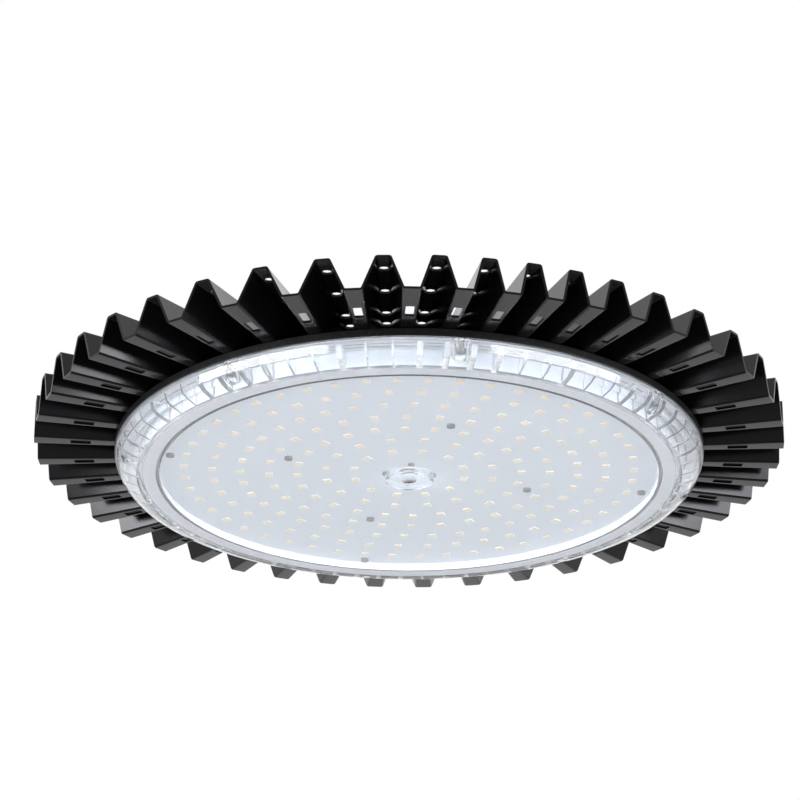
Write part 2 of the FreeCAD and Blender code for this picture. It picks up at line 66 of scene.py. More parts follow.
def selectWhere(piece, kind, test):
    shape = bmesh.from_edit_mesh(piece.data)
    bpy.ops.mesh.select_mode(type=kind)
    bpy.ops.mesh.select_all(action="DESELECT")
    for part in {"VERT": shape.verts, "EDGE": shape.edges, "FACE": shape.faces}[kind]:
        part.select_set(bool(test(part)))
    bmesh.update_edit_mesh(piece.data)


def finished(piece, kind, **settings):
    # adds a modifier, sets it and applies it
    only(piece)
    modifier = piece.modifiers.new(kind.title(), kind)
    for name, value in settings.items():
        setattr(modifier, name, value)
    bpy.ops.object.modifier_apply(modifier=modifier.name)


def primitive(kind, name, **where):
    bpy.ops.object.select_all(action="DESELECT")
    getattr(bpy.ops.mesh, "primitive_" + kind + "_add")(**where)
    piece = bpy.context.object
    piece.name = name
    bpy.ops.object.transform_apply(location=True, rotation=True, scale=True)
    return piece


def outlined(name, points, filled=True):
    # a circle with one vertex for each point, and each vertex put in its place
    fill = "NGON" if filled else "NOTHING"
    piece = primitive("circle", name, vertices=len(points), radius=mm, fill_type=fill)
    for vertex, point in zip(piece.data.vertices, points):
        vertex.co = Vector(point) * mm
    return piece


def lathe(name, profile, steps=128):
    # spins a closed (radius, height) profile round the axis
    piece = outlined(name, [(radius, 0, z) for radius, z in profile], filled=False)
    openEdit(piece)
    bpy.ops.mesh.select_all(action="SELECT")
    bpy.ops.mesh.spin(steps=steps, angle=2 * math.pi, center=(0, 0, 0), axis=(0, 0, 1))
    bpy.ops.mesh.select_all(action="SELECT")
    bpy.ops.mesh.remove_doubles(threshold=mm * 0.002)
    bpy.ops.mesh.delete_loose()
    bpy.ops.mesh.select_all(action="SELECT")
    bpy.ops.mesh.normals_make_consistent(inside=False)
    closeEdit()
    return piece


def prism(name, points, path):
    # fills an outline and extrudes it along a vector
    piece = outlined(name, points)
    openEdit(piece)
    bpy.ops.mesh.select_all(action="SELECT")
    bpy.ops.mesh.extrude_region_move(TRANSFORM_OT_translate={"value": Vector(path) * mm})
    bpy.ops.mesh.select_all(action="SELECT")
    bpy.ops.mesh.normals_make_consistent(inside=False)
    closeEdit()
    return piece


def eased(points, radius, steps=3):
    # rounds each corner of a closed profile
    result = []
    for i, point in enumerate(points):
        here = Vector(point)
        before = Vector(points[i - 1]) - here
        after = Vector(points[(i + 1) % len(points)]) - here
        onAxis = abs(point[0]) < 1e-6
        reach = min(radius, before.length * 0.45, after.length * 0.45)
        if onAxis or reach < 0.02:
            result.append(tuple(here))
            continue
        start = here + before.normalized() * reach
        end = here + after.normalized() * reach
        for k in range(steps + 1):
            t = k / steps
            result.append(tuple(start * (1 - t) ** 2 + here * 2 * t * (1 - t) + end * t ** 2))
    return result


def placedAt(x, y, z, degrees=0.0):
    return Matrix.Translation(Vector((x, y, z)) * mm) @ Matrix.Rotation(math.radians(degrees), 4, "Z")


def round3(radius, degrees):
    # the point at a radius and an angle round the axis
    turn = math.radians(degrees)
    return Vector((radius * math.cos(turn), radius * math.sin(turn), 0.0))


def repeated(name, model, places):
    # one mesh that holds a copy of the model at each place, and the model is then removed
    shape = bmesh.new()
    for place in places:
        count = len(shape.verts)
        shape.from_mesh(model.data)
        shape.verts.ensure_lookup_table()
        bmesh.ops.transform(shape, matrix=place, verts=shape.verts[count:])
    mesh = bpy.data.meshes.new(name)
    shape.to_mesh(mesh)
    shape.free()
    for material in model.data.materials:
        mesh.materials.append(material)
    piece = bpy.data.objects.new(name, mesh)
    scene.collection.objects.link(piece)
    bpy.data.objects.remove(model)
    return piece


def joined(pieces, name):
    bpy.ops.object.select_all(action="DESELECT")
    for piece in pieces:
        piece.select_set(True)
    bpy.context.view_layer.objects.active = pieces[0]
    bpy.ops.object.join()
    pieces[0].name = name
    return pieces[0]


def combine(piece, tool, operation):
    finished(piece, "BOOLEAN", object=tool, operation=operation, solver="MANIFOLD")
    bpy.data.objects.remove(tool)


def smoothed(piece, degrees=35.0):
    only(piece)
    bpy.ops.object.shade_smooth_by_angle(angle=math.radians(degrees))
    finished(piece, "WEIGHTED_NORMAL", keep_sharp=True, weight=50)


def placePiece(piece, material, nodes):
    # the finish, the body it rides on and the CAD nodes it stands for
    piece.data.materials.clear()
    piece.data.materials.append(material)
    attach(piece, "root")
    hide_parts(*nodes)
    print("made", piece.name, len(piece.data.polygons), "faces")


# shader helpers

class Wire:
    # an output socket that takes part in sums
    def __init__(self, maker, socket):
        self.maker = maker
        self.socket = socket

    def math(self, operation, first, second=0.0, clamp=False):
        settings = {"operation": operation, "use_clamp": clamp}
        return self.maker.node("ShaderNodeMath", settings, {0: first, 1: second})

    def __add__(self, other):
        return self.math("ADD", self, other)

    def __radd__(self, other):
        return self.math("ADD", other, self)

    def __sub__(self, other):
        return self.math("SUBTRACT", self, other)

    def __rsub__(self, other):
        return self.math("SUBTRACT", other, self)

    def __mul__(self, other):
        return self.math("MULTIPLY", self, other)

    def __rmul__(self, other):
        return self.math("MULTIPLY", other, self)

    def __pow__(self, other):
        return self.math("POWER", self, other)

    def above(self, level):
        return self.math("GREATER_THAN", self, level)

    def clamped(self):
        return self.math("ADD", self, 0.0, clamp=True)

    def smooth(self, low, high):
        # 0 below low, 1 above high
        return self.maker.node("ShaderNodeMapRange", {"interpolation_type": "SMOOTHSTEP"},
                               {0: self, 1: low, 2: high, 3: 0.0, 4: 1.0})


class Graph:
    # a node tree under construction
    def __init__(self, owner, output):
        self.owner = owner
        owner.use_nodes = True
        self.tree = owner.node_tree
        self.tree.nodes.clear()
        self.output = self.tree.nodes.new(output)

    def node(self, kind, settings=None, inputs=None, result=0):
        made = self.tree.nodes.new(kind)
        for name, value in (settings or {}).items():
            setattr(made, name, value)
        for socket, value in (inputs or {}).items():
            if isinstance(value, Wire):
                self.tree.links.new(value.socket, made.inputs[socket])
            elif value is not None:
                made.inputs[socket].default_value = value
        return Wire(self, made.outputs[result])

    def shown(self):
        # 1 for the rays that show the background: from the camera, a reflection or through glass
        outputs = self.node("ShaderNodeLightPath").socket.node.outputs
        kinds = ("Is Camera Ray", "Is Glossy Ray", "Is Transmission Ray")
        return sum(Wire(self, outputs[kind]) for kind in kinds).clamped()

    def done(self, shader):
        self.tree.links.new(shader.socket, self.output.inputs["Surface"])
        return self.owner


class Finish(Graph):
    # a material with patterns on the piece's own coordinates
    def __init__(self, name):
        super().__init__(bpy.data.materials.new(name), "ShaderNodeOutputMaterial")

    def place(self):
        return self.node("ShaderNodeTexCoord", result="Object")

    def axes(self):
        parts = self.node("ShaderNodeSeparateXYZ", inputs={0: self.place()})
        made = parts.socket.node
        return [Wire(self, made.outputs[i]) for i in range(3)]

    def radius(self):
        x, y, z = self.axes()
        return (x * x + y * y) ** 0.5

    def noise(self, scale, detail=3.0, roughness=0.5):
        inputs = {"Vector": self.place(), "Scale": scale, "Detail": detail, "Roughness": roughness}
        return self.node("ShaderNodeTexNoise", inputs=inputs)

    def mixed(self, factor, first, second):
        # a colour between two colours
        return self.node("ShaderNodeMix", {"data_type": "RGBA"}, {0: factor, 6: first, 7: second}, result=2)

    def bump(self, height, strength, distance):
        inputs = {"Strength": strength, "Distance": distance, "Height": height}
        return self.node("ShaderNodeBump", inputs=inputs)

    def principled(self, **sockets):
        spaced = {"baseColor": "Base Color", "metallic": "Metallic", "roughness": "Roughness", "ior": "IOR",
                  "normal": "Normal", "coatWeight": "Coat Weight", "specularTint": "Specular Tint",
                  "subsurfaceWeight": "Subsurface Weight", "subsurfaceScale": "Subsurface Scale",
                  "transmissionWeight": "Transmission Weight"}
        inputs = {spaced[name]: value for name, value in sockets.items()}
        return self.node("ShaderNodeBsdfPrincipled", inputs=inputs)


def rgb(red, green, blue):
    return (red, green, blue, 1.0)


def shade(colour, share=1.0):
    return rgb(*[part * share for part in colour])


# finishes

def sheetPaint():
    # glossy black lacquer on folded sheet
    finish = Finish("sheetPaint")
    peel = finish.noise(520.0, 2.0)
    patch = finish.noise(28.0, 4.0)
    roughness = 0.13 + patch * 0.10
    colour = finish.mixed(patch, rgb(0.003, 0.003, 0.0036), rgb(0.006, 0.006, 0.007))
    return finish.done(finish.principled(baseColor=colour, roughness=roughness, ior=1.5,
                                         specularTint=rgb(0.22, 0.22, 0.235),
                                         normal=finish.bump(peel, 0.05, 0.0002)))


def texturedPaint(name, colour):
    # fine textured black powder coat on cast or pressed metal
    finish = Finish(name)
    speck = finish.noise(1400.0, 3.0, 0.6)
    patch = finish.noise(40.0, 4.0)
    rough = 0.37 + patch * 0.12
    tone = finish.mixed(patch, shade(colour, 0.75), shade(colour))
    return finish.done(finish.principled(baseColor=tone, roughness=rough, ior=1.5,
                                         specularTint=rgb(0.5, 0.5, 0.5),
                                         normal=finish.bump(speck, 0.35, 0.00025)))


def plateFinish():
    # textured black outside, machined bare metal where the lens and board seat, with two thin rings of
    # painted shade on the metal
    finish = Finish("plateFinish")
    z = finish.axes()[2]
    radius = finish.radius()
    edgeRadius = plate["bareRadius"]
    underside = 1 - z.above(plate["underside"] * mm + 0.00005)
    bare = (1 - radius.smooth(edgeRadius * mm - 0.0003, edgeRadius * mm)) * underside
    turning = finish.node("ShaderNodeTexWave", {"wave_type": "RINGS", "rings_direction": "Z"},
                          {"Vector": finish.place(), "Scale": 900.0, "Distortion": 0.4})
    speck = finish.noise(1500.0, 3.0, 0.6)
    grit = finish.noise(420.0, 4.0, 0.7)
    black = finish.mixed(grit.smooth(0.45, 0.75), rgb(0.004, 0.004, 0.005), rgb(0.016, 0.016, 0.019))
    # painted shade: two thin dark rings on the bare metal stand in for the shade in the gap between lens and
    # plate
    paintedGrooveShade = sum(radius.smooth((at - 0.45) * mm, (at - 0.2) * mm)
                 - radius.smooth((at + 0.2) * mm, (at + 0.45) * mm) for at in plate["grooves"])
    metal = finish.mixed(paintedGrooveShade, rgb(0.50, 0.51, 0.53), rgb(0.06, 0.06, 0.07))
    colour = finish.mixed(bare, black, metal)
    height = (speck * 0.5 + grit) * (1 - bare) + turning * bare * 0.08
    return finish.done(finish.principled(baseColor=colour, roughness=0.46 + bare * 0.2,
                                         specularTint=rgb(0.2, 0.2, 0.2),
                                         normal=finish.bump(height, 0.5, 0.0003)))


def clearLens():
    # clear moulded polycarbonate; the shadow rays pass straight through
    finish = Finish("clearLens")
    ripple = finish.noise(55.0, 2.0)
    patch = finish.noise(90.0, 3.0, 0.6)
    windowRadius = lens["radius"] - lens["windowInset"]
    footRadius = lens["radius"] - lens["footInset"]
    rim = finish.radius().smooth(windowRadius * mm, footRadius * mm)
    walls = finish.axes()[2].above((lens["floor"] + 0.2) * mm)
    misty = finish.mixed(patch, rgb(0.74, 0.75, 0.77), rgb(0.94, 0.95, 0.97))
    colour = finish.mixed(rim, rgb(0.965, 0.98, 1.0), misty)
    body = finish.principled(baseColor=colour, roughness=0.02 + rim * 0.05, ior=1.585, transmissionWeight=1.0,
                             specularTint=rgb(0.25, 0.25, 0.25), normal=finish.bump(ripple, 0.02, 0.0003))
    mist = finish.node("ShaderNodeBsdfDiffuse", inputs={0: rgb(0.86, 0.87, 0.89)})
    share = (rim + walls).clamped() * (0.04 + patch * 0.08)
    body = finish.node("ShaderNodeMixShader", inputs={0: share, 1: body, 2: mist})
    through = finish.node("ShaderNodeBsdfTransparent", inputs={0: rgb(0.93, 0.95, 0.97)})
    shadow = finish.node("ShaderNodeLightPath", result="Is Shadow Ray")
    return finish.done(finish.node("ShaderNodeMixShader", inputs={0: shadow, 1: body, 2: through}))


def boardMask():
    # white solder mask over copper, with the rings of track showing faintly
    finish = Finish("boardMask")
    radius = finish.radius()
    pitch = ledRings["pitch"] * mm
    ring = finish.node("ShaderNodeMath", {"operation": "PINGPONG"}, {0: radius + pitch / 2, 1: pitch / 2})
    track = 1 - ring.smooth(0.0009, 0.0011)
    speck = finish.noise(2600.0, 2.0)
    patch = finish.noise(18.0, 3.0)
    tone = finish.mixed(patch, rgb(0.62, 0.66, 0.72), rgb(0.66, 0.695, 0.745))
    colour = finish.mixed(track * 0.12, tone, rgb(0.60, 0.63, 0.68))
    height = track * 0.6 + speck * 0.15
    return finish.done(finish.principled(baseColor=colour, roughness=0.38 + patch * 0.08,
                                         normal=finish.bump(height, 0.25, 0.00005)))


def ledBody():
    finish = Finish("ledBody")
    speck = finish.noise(3000.0, 2.0)
    colour = finish.mixed(speck, rgb(0.76, 0.73, 0.66), rgb(0.80, 0.77, 0.71))
    return finish.done(finish.principled(baseColor=colour, roughness=0.45))


def ledPhosphor():
    # soft silicone filled with yellow phosphor
    finish = Finish("ledPhosphor")
    grain = finish.noise(4200.0, 3.0, 0.7)
    colour = finish.mixed(grain, rgb(0.86, 0.68, 0.42), rgb(0.92, 0.78, 0.54))
    return finish.done(finish.principled(baseColor=colour, roughness=0.28, coatWeight=0.3,
                                         normal=finish.bump(grain, 0.15, 0.00004)))


def platedSteel(name, colour, roughness=0.28):
    finish = Finish(name)
    cloud = finish.noise(220.0, 4.0)
    fine = finish.noise(2200.0, 3.0, 0.6)
    tone = finish.mixed(cloud, shade(colour, 0.8), shade(colour))
    rough = roughness - 0.05 + cloud * 0.14
    return finish.done(finish.principled(baseColor=tone, metallic=1.0, roughness=rough,
                                         normal=finish.bump(fine, 0.08, 0.00005)))


def mouldedPlastic(name, colour, roughness):
    finish = Finish(name)
    cells = finish.noise(900.0, 3.0, 0.6)
    cloud = finish.noise(60.0, 3.0)
    tone = finish.mixed(cloud, shade(colour, 0.85), shade(colour))
    return finish.done(finish.principled(baseColor=tone, roughness=roughness - 0.05 + cloud * 0.1,
                                         normal=finish.bump(cells, 0.15, 0.0001)))


def softSilicone(name, colour, edgeRadius=None):
    # painted shade: where an edge radius is given, the band just inside it is painted darker, standing in for
    # shade on the outer edge
    finish = Finish(name)
    cloud = finish.noise(45.0, 3.0)
    fine = finish.noise(1500.0, 2.0)
    tone = finish.mixed(cloud, shade(colour, 0.94), shade(colour))
    if edgeRadius:
        # painted shade, darker towards the edge radius
        paintedShade = finish.radius().smooth((edgeRadius - 0.5) * mm, (edgeRadius - 0.1) * mm)
        tone = finish.mixed(paintedShade, tone, shade(colour, 0.38))
    return finish.done(finish.principled(baseColor=tone, roughness=0.55, subsurfaceWeight=0.15,
                                         subsurfaceScale=0.002, normal=finish.bump(fine, 0.1, 0.00005)))


# pleated crown

crown = {
    "pleats": 44, "firstAngle": -19.74, "outerRadius": 191.0, "innerRadius": 110.0, "innerShare": 0.5,
    "gathering": ((1, 1.58, -148.0), (2, 1.23, -171.0), (3, 0.90, 84.0), (4, 1.24, 68.0), (5, 0.57, 24.0)),
    "sheet": 1.2, "lowWidths": (4.6, 8.9), "crestWidths": (6.4, 7.2),
    "foldWidth": 0.62, "foldSteps": 3, "lengthSteps": 8,
    "slot": (10.2, 4.1), "slotFromEnd": 23.5, "slotCorner": 0.5,
    "holeRadius": 2.35, "holeFromEnd": 12.0, "holePitch": 23.4, "holeSteps": (0.0, 1.0, 2.0, 2.5),
    "holeSides": 24, "screwHoleRadius": 1.7, "screwCircle": 130.15,
}
crownLow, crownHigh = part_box("pleated_heat_sink")
crown["lowZ"] = crownLow.z / mm + crown["sheet"] / 2
crown["crestZ"] = crownHigh.z / mm - crown["sheet"] / 2


def stripEnds(place):
    # the middle line of a low flat (whole places) or of a crest (half places)
    nominal = 360.0 / crown["pleats"] * place
    drift = sum(size * math.cos(math.radians(waves * nominal - phase))
                for waves, size, phase in crown["gathering"])
    inner = round3(crown["innerRadius"], crown["firstAngle"] + nominal + drift * crown["innerShare"])
    outer = round3(crown["outerRadius"], crown["firstAngle"] + nominal + drift)
    return inner, outer


def foldLines():
    # inner and outer end of each fold of the sheet's middle surface, in order round the crown
    sheet = crown["sheet"]
    rise = crown["crestZ"] - crown["lowZ"] + sheet
    lines = []
    for k in range(crown["pleats"]):
        low, crest, nextLow = stripEnds(k), stripEnds(k + 0.5), stripEnds(k + 1)
        for strip, other, widths, otherWidths, z, side in (
                (low, crest, crown["lowWidths"], crown["crestWidths"], crown["lowZ"], 1),
                (crest, low, crown["crestWidths"], crown["lowWidths"], crown["crestZ"], -1),
                (crest, nextLow, crown["crestWidths"], crown["lowWidths"], crown["crestZ"], 1),
                (nextLow, crest, crown["lowWidths"], crown["crestWidths"], crown["lowZ"], -1)):
            across = up.cross((strip[1] - strip[0]).normalized())
            otherAcross = up.cross((other[1] - other[0]).normalized())
            ends = []
            for end in (0, 1):
                edge = strip[end] + across * side * widths[end] / 2
                otherEdge = other[end] - otherAcross * side * otherWidths[end] / 2
                run = (edge - otherEdge).length
                lean = math.asin(sheet / math.hypot(run, rise)) + math.atan2(run, rise)
                shift = run - (rise - sheet) * math.tan(lean)
                middle = edge + across * side * shift / 2
                ends.append(Vector((middle.x, middle.y, z)))
            lines.append(ends)
    return lines


def span(edge, end):
    return edge.verts[end].co.xy.length


def makeCrown():
    lines = foldLines()
    lines = lines[-1:] + lines
    rows = crown["lengthSteps"]
    piece = primitive("grid", "heatSinkCrown", x_subdivisions=len(lines) - 1, y_subdivisions=rows, size=2)
    for vertex in piece.data.vertices:
        column = round((vertex.co.x + 1) / 2 * (len(lines) - 1))
        share = (vertex.co.y + 1) / 2
        inner, outer = lines[column]
        vertex.co = inner.lerp(outer, share) * mm
    openEdit(piece)
    bpy.ops.mesh.select_all(action="SELECT")
    bpy.ops.mesh.remove_doubles(threshold=mm * 0.01)
    runsOut = (crown["outerRadius"] - crown["innerRadius"]) / rows * 0.5 * mm
    selectWhere(piece, "EDGE", lambda edge: abs(span(edge, 0) - span(edge, 1)) > runsOut)
    bpy.ops.mesh.bevel(offset_type="OFFSET", offset=crown["foldWidth"] * mm, segments=crown["foldSteps"],
                       affect="EDGES", clamp_overlap=False)
    closeEdit()
    finished(piece, "SOLIDIFY", thickness=crown["sheet"] * mm, offset=0.0, use_even_offset=True,
             use_quality_normals=True)
    combine(piece, crownCutters(), "DIFFERENCE")
    smoothed(piece, 32.0)
    return piece


def onStrip(place, fromEnd, z):
    inner, outer = stripEnds(place)
    along = (outer - inner).normalized()
    point = outer - along * fromEnd
    return placedAt(point.x, point.y, z, math.degrees(math.atan2(along.y, along.x)))


def crownCutters():
    depth = crown["sheet"] * 3 * mm  # well through the sheet
    hole = primitive("cylinder", "holeTool", vertices=crown["holeSides"],
                     radius=crown["holeRadius"] * mm, depth=depth)
    holes = repeated("holeTools", hole, [
        onStrip(k + 0.5, crown["holeFromEnd"] + step * crown["holePitch"], crown["crestZ"])
        for k in range(crown["pleats"]) for step in crown["holeSteps"]])
    slot = primitive("cube", "slotTool", size=1.0)
    slot.scale = (crown["slot"][0] * mm, crown["slot"][1] * mm, depth)
    only(slot)
    bpy.ops.object.transform_apply(scale=True)
    openEdit(slot)
    selectWhere(slot, "EDGE", lambda edge: abs(edge.verts[0].co.z - edge.verts[1].co.z) > mm)
    bpy.ops.mesh.bevel(offset=crown["slotCorner"] * mm, segments=3, affect="EDGES")
    closeEdit()
    slots = repeated("slotTools", slot, [onStrip(k, crown["slotFromEnd"], crown["lowZ"])
                                         for k in range(crown["pleats"])])
    screwHole = primitive("cylinder", "screwHoleTool", vertices=crown["holeSides"],
                          radius=crown["screwHoleRadius"] * mm, depth=depth)
    fromEnd = crown["outerRadius"] - crown["screwCircle"]
    screwHoles = repeated("screwHoleTools", screwHole, [onStrip(k, fromEnd, crown["lowZ"])
                                                        for k in range(0, crown["pleats"], 2)])
    return joined([holes, slots, screwHoles], "crownCutters")


placePiece(makeCrown(), sheetPaint(), ["pleated_heat_sink"])


# base plate and lens share the seal channel, so their sizes stand together

plateLow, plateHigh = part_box("base_plate")
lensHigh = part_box("lens_cover")[1]
lens = {
    "radius": lensHigh.x / mm, "rimZ": lensHigh.z / mm, "wall": 2.2, "floor": 2.4, "bite": 0.5,
    "lipHeight": 1.8, "lipStep": 0.6, "bandHeight": 6.1, "bandInset": 2.0,
    "footHeight": 2.4, "footInset": 4.6, "windowInset": 11.2,
    "sealInset": 12.2, "sealSpan": 10.6, "sealWall": 1.8, "sealGap": 0.6,
    "ribs": 72, "ribAngle": 2.0, "ribWidth": 1.0, "wideRib": 2.8, "wideEvery": 3, "ribDrop": 1.6,
    "bosses": 8, "bossAngle": 9.5, "bossInset": 5.0, "bossRadius": 4.4,
    "recessRadius": 2.8, "recessTop": 7.0, "screwRadius": 1.7, "cutReach": 3.0,
    "ringRadius": 12.5, "ringWall": 1.8, "ringGap": 0.6, "ringCorner": 0.2,
    "pillarRadius": 3.7, "pillarGap": 0.1, "dimpleRadius": 2.4, "dimpleDepth": 0.8,
    "corner": 0.35, "steps": 240,
}
plate = {
    "radius": plateHigh.x / mm, "top": plateHigh.z / mm, "padZ": plateLow.z / mm,
    "padRadius": lens["radius"] - lens["sealInset"] - lens["sealSpan"] - lens["sealGap"],
    "bareRadius": lens["radius"] + 0.1, "underside": lens["rimZ"], "wireHole": 5.5, "edge": 0.5,
    # radii of the two rings of painted shade on the plate
    "grooves": (141.3, 137.9), "steps": 192,
}


def makePlate():
    profile = [(plate["wireHole"], plate["padZ"]), (plate["padRadius"], plate["padZ"]),
               (plate["padRadius"], plate["underside"]), (plate["radius"], plate["underside"]),
               (plate["radius"], plate["top"]), (plate["wireHole"], plate["top"])]
    piece = lathe("basePlate", eased(profile, plate["edge"]), plate["steps"])
    smoothed(piece)
    return piece


placePiece(makePlate(), plateFinish(), ["base_plate"])


# lens

def lensSide():
    radius, rimZ = lens["radius"], lens["rimZ"]
    lipZ = rimZ - lens["lipHeight"]
    return [(0, 0), (radius - lens["windowInset"], 0), (radius - lens["footInset"], lens["footHeight"]),
            (radius - lens["bandInset"], rimZ - lens["bandHeight"]), (radius - lens["lipStep"], lipZ),
            (radius, lipZ), (radius, rimZ)]


def lensInside():
    radius, rimZ, floor, wall = lens["radius"], lens["rimZ"], lens["floor"], lens["wall"]
    points = [(radius - wall, rimZ),
              (radius - lens["bandInset"] - wall, rimZ - lens["bandHeight"] + wall / 2),
              (radius - lens["footInset"] - wall, lens["footHeight"] + wall)]
    outer = radius - lens["sealInset"]
    top = rimZ - lens["ribDrop"]
    for edge in (outer, outer - lens["sealSpan"] + lens["sealWall"]):
        back = edge - lens["sealWall"]
        points += [(edge, floor), (edge, top), (back, top), (back, floor)]
    return points + [(0, floor)]


def ribModel(name, width):
    # each rib bites into the floor and walls it joins
    radius, rimZ, floor, bite = lens["radius"], lens["rimZ"], lens["floor"], lens["bite"]
    inner, top = radius - lens["sealInset"] - bite, rimZ - lens["ribDrop"]
    outline = [(inner, floor - bite), (radius - lens["footInset"] - bite, lens["footHeight"] + bite),
               (radius - lens["bandInset"] - bite, rimZ - lens["bandHeight"] + bite),
               (radius - lens["lipStep"] - bite, top), (inner, top)]
    return prism(name, [(r, -width / 2, z) for r, z in outline], (0, width, 0))


def ribPlaces():
    pitch = 360.0 / lens["ribs"]
    bossPitch = 360.0 / lens["bosses"]
    thin, wide = [], []
    for i in range(lens["ribs"]):
        angle = lens["ribAngle"] + i * pitch
        fromBoss = (angle - lens["bossAngle"]) % bossPitch
        beside = min(fromBoss, bossPitch - fromBoss) < pitch
        (wide if beside or i % lens["wideEvery"] == 0 else thin).append(placedAt(0, 0, 0, angle))
    return thin, wide


def bossPoints():
    circle = lens["radius"] - lens["bossInset"]
    return [round3(circle, lens["bossAngle"] + i * 360.0 / lens["bosses"]) for i in range(lens["bosses"])]


def uprights(name, radius, bottom, top, points, sides=32):
    model = primitive("cylinder", name, vertices=sides, radius=radius * mm, depth=(top - bottom) * mm)
    return repeated(name, model, [placedAt(p.x, p.y, (top + bottom) / 2) for p in points])


def makeLens():
    steps, rimZ = lens["steps"], lens["rimZ"]
    base = lens["floor"] - lens["bite"]
    piece = lathe("lensCover", eased(lensSide() + lensInside(), lens["corner"]), steps)
    thin, wide = ribPlaces()
    middle = [Vector((0, 0, 0))]
    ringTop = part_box("led_ring_1")[0].z / mm - lens["ringGap"]
    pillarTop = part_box("led_board")[0].z / mm - lens["pillarGap"]
    ringOuter, ringInner = lens["ringRadius"], lens["ringRadius"] - lens["ringWall"]
    ring = [(ringInner, base), (ringOuter, base), (ringOuter, ringTop), (ringInner, ringTop)]
    bosses = uprights("bosses", lens["bossRadius"], base, rimZ, bossPoints())
    blank = lathe("lensBlank", eased(lensSide() + [(0, rimZ)], lens["corner"]), steps)
    combine(bosses, blank, "INTERSECT")
    added = [repeated("thinRibs", ribModel("thinRib", lens["ribWidth"]), thin),
             repeated("wideRibs", ribModel("wideRib", lens["wideRib"]), wide),
             bosses,
             lathe("centreRing", eased(ring, lens["ringCorner"]), 72),
             uprights("centrePillar", lens["pillarRadius"], base, pillarTop, middle, 48)]
    combine(piece, joined(added, "lensRibs"), "UNION")
    reach = lens["cutReach"]
    boreBottom = lens["recessTop"] - 1
    cuts = [uprights("recesses", lens["recessRadius"], -reach, lens["recessTop"], bossPoints()),
            uprights("screwBores", lens["screwRadius"], boreBottom, rimZ + reach, bossPoints(), 20),
            uprights("dimple", lens["dimpleRadius"], -reach, lens["dimpleDepth"], middle, 48)]
    combine(piece, joined(cuts, "lensCuts"), "DIFFERENCE")
    smoothed(piece, 30.0)
    return piece


placePiece(makeLens(), clearLens(), ["lens_cover"])


# LED rings

boardLow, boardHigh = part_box("led_board")
ledRings = {
    "rings": ((2, 12, 13.0), (3, 16, 10.0), (4, 24, 13.0), (5, 28, 12.0),  # place, count, first angle
              (6, 36, 1.7), (7, 40, 3.4), (8, 48, 4.7)),
    "boardMargin": 11.3,
    "size": 3.8, "height": 0.7, "corner": 0.25, "frameWidth": 0.25, "cupWall": 0.12, "cupDepth": 0.08,
}
ledRings["pitch"] = (boardHigh.x / mm - ledRings["boardMargin"]) / ledRings["rings"][-1][0]


def ledModel():
    # a white cup with a window of phosphor, facing down
    half = ledRings["size"] / 2
    bottom = boardLow.z / mm - ledRings["height"]
    model = primitive("cube", "ledModel", size=1.0)
    model.scale = (2 * half * mm, 2 * half * mm, ledRings["height"] * mm)
    model.location = (0, 0, (bottom + ledRings["height"] / 2) * mm)
    only(model)
    bpy.ops.object.transform_apply(location=True, scale=True)
    openEdit(model)
    selectWhere(model, "EDGE", lambda edge: abs(edge.verts[0].co.z - edge.verts[1].co.z) > 0.1 * mm)
    bpy.ops.mesh.bevel(offset=ledRings["corner"] * mm, segments=2, affect="EDGES")
    selectWhere(model, "FACE", lambda face: face.normal.z < -0.9)
    bpy.ops.mesh.inset(thickness=ledRings["frameWidth"] * mm, depth=0)
    bpy.ops.mesh.inset(thickness=ledRings["cupWall"] * mm, depth=-ledRings["cupDepth"] * mm)
    closeEdit()
    model.data.materials.append(ledMaterials[0])
    model.data.materials.append(ledMaterials[1])
    floor = (bottom + ledRings["cupDepth"] * 0.5) * mm
    for face in model.data.polygons:
        if face.normal.z < -0.9 and face.center.z > floor:
            face.material_index = 1
    return model


def makeLedRing(number, count, first):
    radius = number * ledRings["pitch"]
    places = []
    for i in range(count):
        angle = first + i * 360.0 / count
        point = round3(radius, angle)
        places.append(placedAt(point.x, point.y, 0, angle))
    piece = repeated("ledRing%d" % (number - 1), ledModel(), places)
    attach(piece, "root")
    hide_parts("led_ring_%d" % (number - 1))


ledMaterials = [ledBody(), ledPhosphor()]
for ringNumber, ringCount, ringAngle in ledRings["rings"]:
    makeLedRing(ringNumber, ringCount, ringAngle)
print("made the LEDs")


def makeBead():
    # white silicone laid in the gap between the board and the seal wall
    gap = 0.05
    inner = boardHigh.x / mm + gap
    outer = lens["radius"] - lens["sealInset"] - lens["sealSpan"] - gap
    bottom, top = boardLow.z / mm + gap, boardHigh.z / mm
    profile = [(inner, bottom), (outer, bottom), (outer, top), (inner, top)]
    bead = lathe("boardBead", profile, plate["steps"])
    smoothed(bead)
    bead.data.materials.append(softSilicone("whiteBead", (0.80, 0.82, 0.85)))
    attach(bead, "root")
    print("made", bead.name)


makeBead()


# CAD nodes that keep their shape

def dress(material, *names):
    for name in names:
        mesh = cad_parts[name].data
        mesh.materials.clear()
        mesh.materials.append(material)


screwMetal = platedSteel("screwMetal", (0.62, 0.63, 0.65))
blackScrew = mouldedPlastic("blackScrew", (0.02, 0.02, 0.022), 0.35)
housingPaint = texturedPaint("housingPaint", (0.014, 0.014, 0.016))
nylon = mouldedPlastic("blackNylon", (0.018, 0.018, 0.02), 0.45)
zinc = platedSteel("zincPlate", (0.70, 0.71, 0.70), 0.32)
